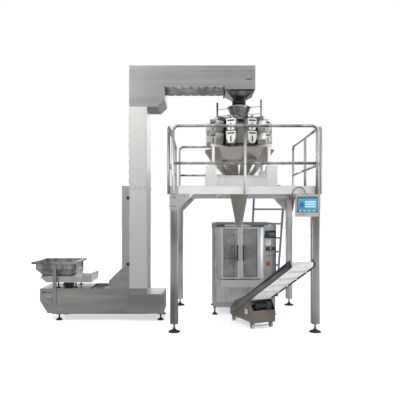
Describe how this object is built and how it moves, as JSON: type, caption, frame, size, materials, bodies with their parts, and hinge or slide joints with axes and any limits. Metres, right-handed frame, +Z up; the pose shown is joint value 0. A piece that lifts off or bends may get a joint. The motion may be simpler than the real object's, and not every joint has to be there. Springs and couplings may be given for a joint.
{
  "type": "vertical form fill seal packing line",
  "caption": "Bucket elevator feeding a multihead weigher on a railed platform, over a vertical form fill seal bagger with an inclined take-off conveyor.",
  "frame": {"origin": "on the floor, under the vertical axis of the forming tube down which the product falls", "axes": "+X from the infeed hopper towards the bagger controls, +Y from the front doors towards the film roll, +Z up"},
  "size_m": [3.9163, 3.4745, 3.601],
  "materials": {
    "platform_steel": "satin brushed stainless steel",
    "deck_plate": "chequered stainless plate",
    "rail_tube": "polished stainless tube",
    "ladder_steel": "dark satin steel",
    "foot_rubber": "matte black pads",
    "casing_steel": "satin brushed stainless sheet",
    "door_steel": "satin stainless",
    "bucket_plastic": "white food-grade plastic",
    "shaft_steel": "turned steel",
    "motor_paint": "dark painted casting",
    "hopper_steel": "embossed and brushed stainless sheet",
    "weigher_frame": "bright satin stainless",
    "chute_steel": "brushed stainless in shade",
    "panel_steel": "satin steel case with a dark screen",
    "cable_rubber": "black sheath",
    "frame_paint": "dark grey frame",
    "cabinet_steel": "satin stainless sheet",
    "window_acrylic": "smoked clear acrylic",
    "white_plastic": "smooth white",
    "red_plastic": "smooth red",
    "film_plastic": "glossy white film",
    "conveyor_steel": "satin steel in shade",
    "bed_steel": "dark satin side frames",
    "belt_plastic": "white belt",
    "wheel_rubber": "grey tyre on a plain hub"
  },
  "bodies": {
    "line": {"platform_legs": "platform_steel", "platform_beams": "platform_steel", "platform_deck": "deck_plate", "guard_rails": "rail_tube", "access_ladder": "ladder_steel", "levelling_feet": "foot_rubber", "elevator_boot": "casing_steel", "elevator_column": "casing_steel", "elevator_head": "casing_steel", "ribbed_covers": "casing_steel", "bucket_chain": "bucket_plastic", "drive_motors": "motor_paint", "drive_guard": "casing_steel", "infeed_hopper": "hopper_steel", "feeder_vibrator": "motor_paint", "discharge_spout": "hopper_steel", "weigher_base": "weigher_frame", "weigher_body": "weigher_frame", "feeder_pans": "hopper_steel", "top_cone": "hopper_steel", "infeed_funnel": "hopper_steel", "feed_hoppers": "hopper_steel", "weigh_hoppers": "hopper_steel", "discharge_chutes": "chute_steel", "collecting_funnel": "chute_steel", "panel_cable": "cable_rubber", "bagger_frame": "frame_paint", "bagger_cabinet": "cabinet_steel", "control_panel": "cabinet_steel", "exit_chute": "white_plastic", "forming_tube": "hopper_steel", "forming_collar": "white_plastic", "film_web": "film_plastic", "conveyor_base": "conveyor_steel", "conveyor_bed": "bed_steel", "conveyor_belt": "belt_plastic"},
    "elevator_door_body": {"elevator_door": "door_steel"},
    "drive_shaft_body": {"drive_shaft": "shaft_steel"},
    "tail_shaft_body": {"tail_shaft": "shaft_steel"},
    "head_shaft_body": {"head_shaft": "shaft_steel"},
    "gate_body": {"hopper_gate": "door_steel"},
    "tray_body": {"feeder_tray": "hopper_steel"},
    "operator_panel_body": {"operator_panel": "panel_steel"},
    "left_door_body": {"left_door": "cabinet_steel", "left_window": "window_acrylic"},
    "right_door_body": {"right_door": "cabinet_steel", "right_window": "window_acrylic"},
    "stop_button_body": {"emergency_stop": "red_plastic"},
    "main_switch_body": {"main_switch": "red_plastic"},
    "left_belt_body": {"pull_belt_left": "door_steel"},
    "right_belt_body": {"pull_belt_right": "door_steel"},
    "sealer_body": {"vertical_sealer": "door_steel"},
    "front_jaw_body": {"front_jaw": "door_steel"},
    "rear_jaw_body": {"rear_jaw": "door_steel"},
    "film_roll_body": {"film_roll": "film_plastic"},
    "dancer_body": {"dancer_arm": "door_steel"},
    "head_roller_body": {"head_roller": "shaft_steel"},
    "tail_roller_body": {"tail_roller": "shaft_steel"},
    "front_wheels_body": {"front_wheels": "wheel_rubber"},
    "rear_wheels_body": {"rear_wheels": "wheel_rubber"}
  },
  "joints": [
    {"name": "elevator_door_hinge", "type": "hinge", "parent": "line", "child": "elevator_door_body", "pos_m": [-1.575, 0.273, 1.3], "axis": [0, 0, -1], "range_deg": [0, 110]},
    {"name": "drive_spin", "type": "hinge", "parent": "line", "child": "drive_shaft_body", "pos_m": [-1.461, 0, 0.28], "axis": [0, 1, 0], "continuous": true},
    {"name": "tail_spin", "type": "hinge", "parent": "line", "child": "tail_shaft_body", "pos_m": [-2.698, 0, 0.3], "axis": [0, 1, 0], "continuous": true},
    {"name": "head_spin", "type": "hinge", "parent": "line", "child": "head_shaft_body", "pos_m": [0.12, 0, 3.4485], "axis": [0, 1, 0], "continuous": true},
    {"name": "gate_lift", "type": "slide", "parent": "line", "child": "gate_body", "axis": [0, 0, 1], "range_m": [0, 0.06]},
    {"name": "tray_shake", "type": "slide", "parent": "line", "child": "tray_body", "axis": [1, 0, 0], "range_m": [-0.003, 0.003], "stiffness_N_per_m": 20000},
    {"name": "operator_panel_swivel", "type": "hinge", "parent": "line", "child": "operator_panel_body", "pos_m": [0.796, -1.012, 1.6], "axis": [0, 0, 1], "range_deg": [-15, 15]},
    {"name": "left_door_hinge", "type": "hinge", "parent": "line", "child": "left_door_body", "pos_m": [-0.344, -0.141, 0.955], "axis": [0, 0, -1], "range_deg": [0, 105]},
    {"name": "right_door_hinge", "type": "hinge", "parent": "line", "child": "right_door_body", "pos_m": [0.344, -0.141, 0.955], "axis": [0, 0, 1], "range_deg": [0, 105]},
    {"name": "stop_press", "type": "slide", "parent": "line", "child": "stop_button_body", "axis": [0, 1, 0], "range_m": [0, 0.004], "stiffness_N_per_m": 2000},
    {"name": "main_switch_turn", "type": "hinge", "parent": "line", "child": "main_switch_body", "pos_m": [0.556, 0.62, 1.05], "axis": [1, 0, 0], "range_deg": [0, 90]},
    {"name": "left_belt_press", "type": "slide", "parent": "line", "child": "left_belt_body", "axis": [-1, 0, 0], "range_m": [0, 0.02]},
    {"name": "right_belt_press", "type": "slide", "parent": "line", "child": "right_belt_body", "axis": [1, 0, 0], "range_m": [0, 0.02]},
    {"name": "sealer_press", "type": "slide", "parent": "line", "child": "sealer_body", "axis": [0, -1, 0], "range_m": [0, 0.02]},
    {"name": "front_jaw_close", "type": "slide", "parent": "line", "child": "front_jaw_body", "axis": [0, 1, 0], "range_m": [0, 0.0265]},
    {"name": "rear_jaw_close", "type": "slide", "parent": "line", "child": "rear_jaw_body", "axis": [0, -1, 0], "range_m": [0, 0.0265]},
    {"name": "film_roll_spin", "type": "hinge", "parent": "line", "child": "film_roll_body", "pos_m": [0, 1.122, 0.52], "axis": [1, 0, 0], "continuous": true},
    {"name": "dancer_swing", "type": "hinge", "parent": "line", "child": "dancer_body", "pos_m": [0, 0.99, 1.1], "axis": [-1, 0, 0], "range_deg": [0, 12]},
    {"name": "head_roller_spin", "type": "hinge", "parent": "line", "child": "head_roller_body", "pos_m": [0.59358, -1.51426, 0.92468], "axis": [0.9219, 0.3875, 0], "continuous": true},
    {"name": "tail_roller_spin", "type": "hinge", "parent": "line", "child": "tail_roller_body", "pos_m": [0.0521, -0.22613, 0.166], "axis": [0.9219, 0.3875, 0], "continuous": true},
    {"name": "front_wheels_spin", "type": "hinge", "parent": "line", "child": "front_wheels_body", "pos_m": [0.24353, -0.68153, 0.035], "axis": [0.9219, 0.3875, 0], "continuous": true},
    {"name": "rear_wheels_spin", "type": "hinge", "parent": "line", "child": "rear_wheels_body", "pos_m": [0.04047, -0.19847, 0.035], "axis": [0.9219, 0.3875, 0], "continuous": true}
  ],
  "couplings": [
    {"joint": "tail_spin", "follows": "drive_spin", "ratio": 0.8},
    {"joint": "head_spin", "follows": "drive_spin", "ratio": 1.1852},
    {"joint": "tail_roller_spin", "follows": "head_roller_spin", "ratio": 1},
    {"joint": "rear_jaw_close", "follows": "front_jaw_close", "ratio": 1}
  ]
}
